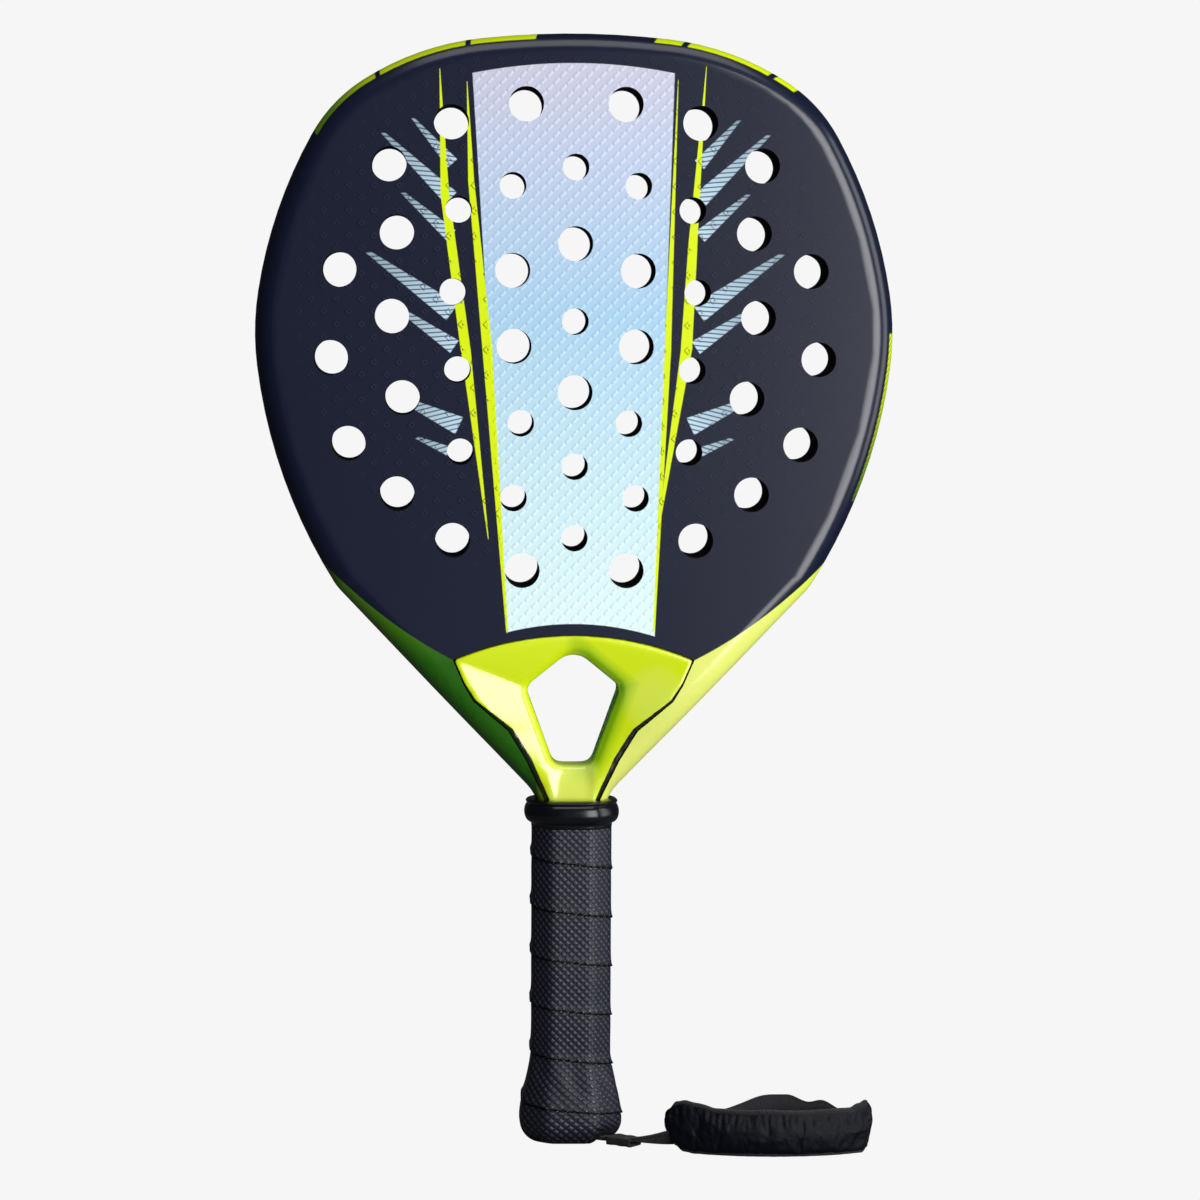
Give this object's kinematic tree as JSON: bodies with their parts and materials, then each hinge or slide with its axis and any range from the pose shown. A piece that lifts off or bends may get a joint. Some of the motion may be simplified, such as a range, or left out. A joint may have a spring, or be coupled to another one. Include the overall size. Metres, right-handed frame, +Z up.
{
  "type": "padel racket",
  "caption": "Padel racket with a perforated foam head between two faces, open lime throat, wrapped handle with rubber collar and a padded wrist strap.",
  "frame": {"origin": "centre of the butt's underside; the racket stands upright on its butt and the wrist strap lies beside it on the same surface", "axes": "+Z up the handle to the top of the head, +X to the right across the head, -Y out of the front face"},
  "size_m": [0.26, 0.0642, 0.455],
  "materials": {
    "frame_lacquer": "satin lacquered carbon tube, dark navy with lime flashes and lime throat",
    "heart_lacquer": "glossy lime lacquer",
    "face_lacquer": "satin dark navy lacquer over woven fibre with an embossed relief",
    "eva_foam": "closed cell foam, cut and painted in the holes",
    "handle_foam": "rigid filler foam",
    "sleeve_rubber": "moulded damping sleeve",
    "cap_plastic": "moulded butt cap",
    "staple_steel": "galvanised wire",
    "grip_leather": "charcoal cushion grip with an embossed dotted texture",
    "vinyl_tape": "finishing tape",
    "ring_rubber": "glossy black rubber",
    "webbing": "flat woven polyester webbing",
    "keeper_cloth": "woven sleeve",
    "cuff_satin": "padded black satin",
    "cuff_foam": "soft foam",
    "cuff_lining": "knitted lining",
    "cuff_piping": "folded binding tape",
    "band_webbing": "ribbed elastic webbing"
  },
  "bodies": {
    "racket": {"frame_tube": "frame_lacquer", "heart_bridge": "heart_lacquer", "foam_core": "eva_foam", "front_face": "face_lacquer", "rear_face": "face_lacquer", "handle_core": "handle_foam", "damping_sleeve": "sleeve_rubber", "butt_cap": "cap_plastic", "cap_staples": "staple_steel", "grip_wrap": "grip_leather", "finishing_tape": "vinyl_tape", "collar_ring": "ring_rubber", "strap_root": "webbing", "strap_tail": "webbing", "cuff_cover": "cuff_satin", "cuff_foam": "cuff_foam", "cuff_lining": "cuff_lining", "cuff_binding": "cuff_piping", "cuff_band": "band_webbing"},
    "keeper": {"strap_keeper": "keeper_cloth"}
  },
  "joints": [
    {"name": "keeper_slide", "type": "slide", "parent": "racket", "child": "keeper", "axis": [0.7793, -0.6266, 0], "range_m": [0, 0.0035]}
  ]
}
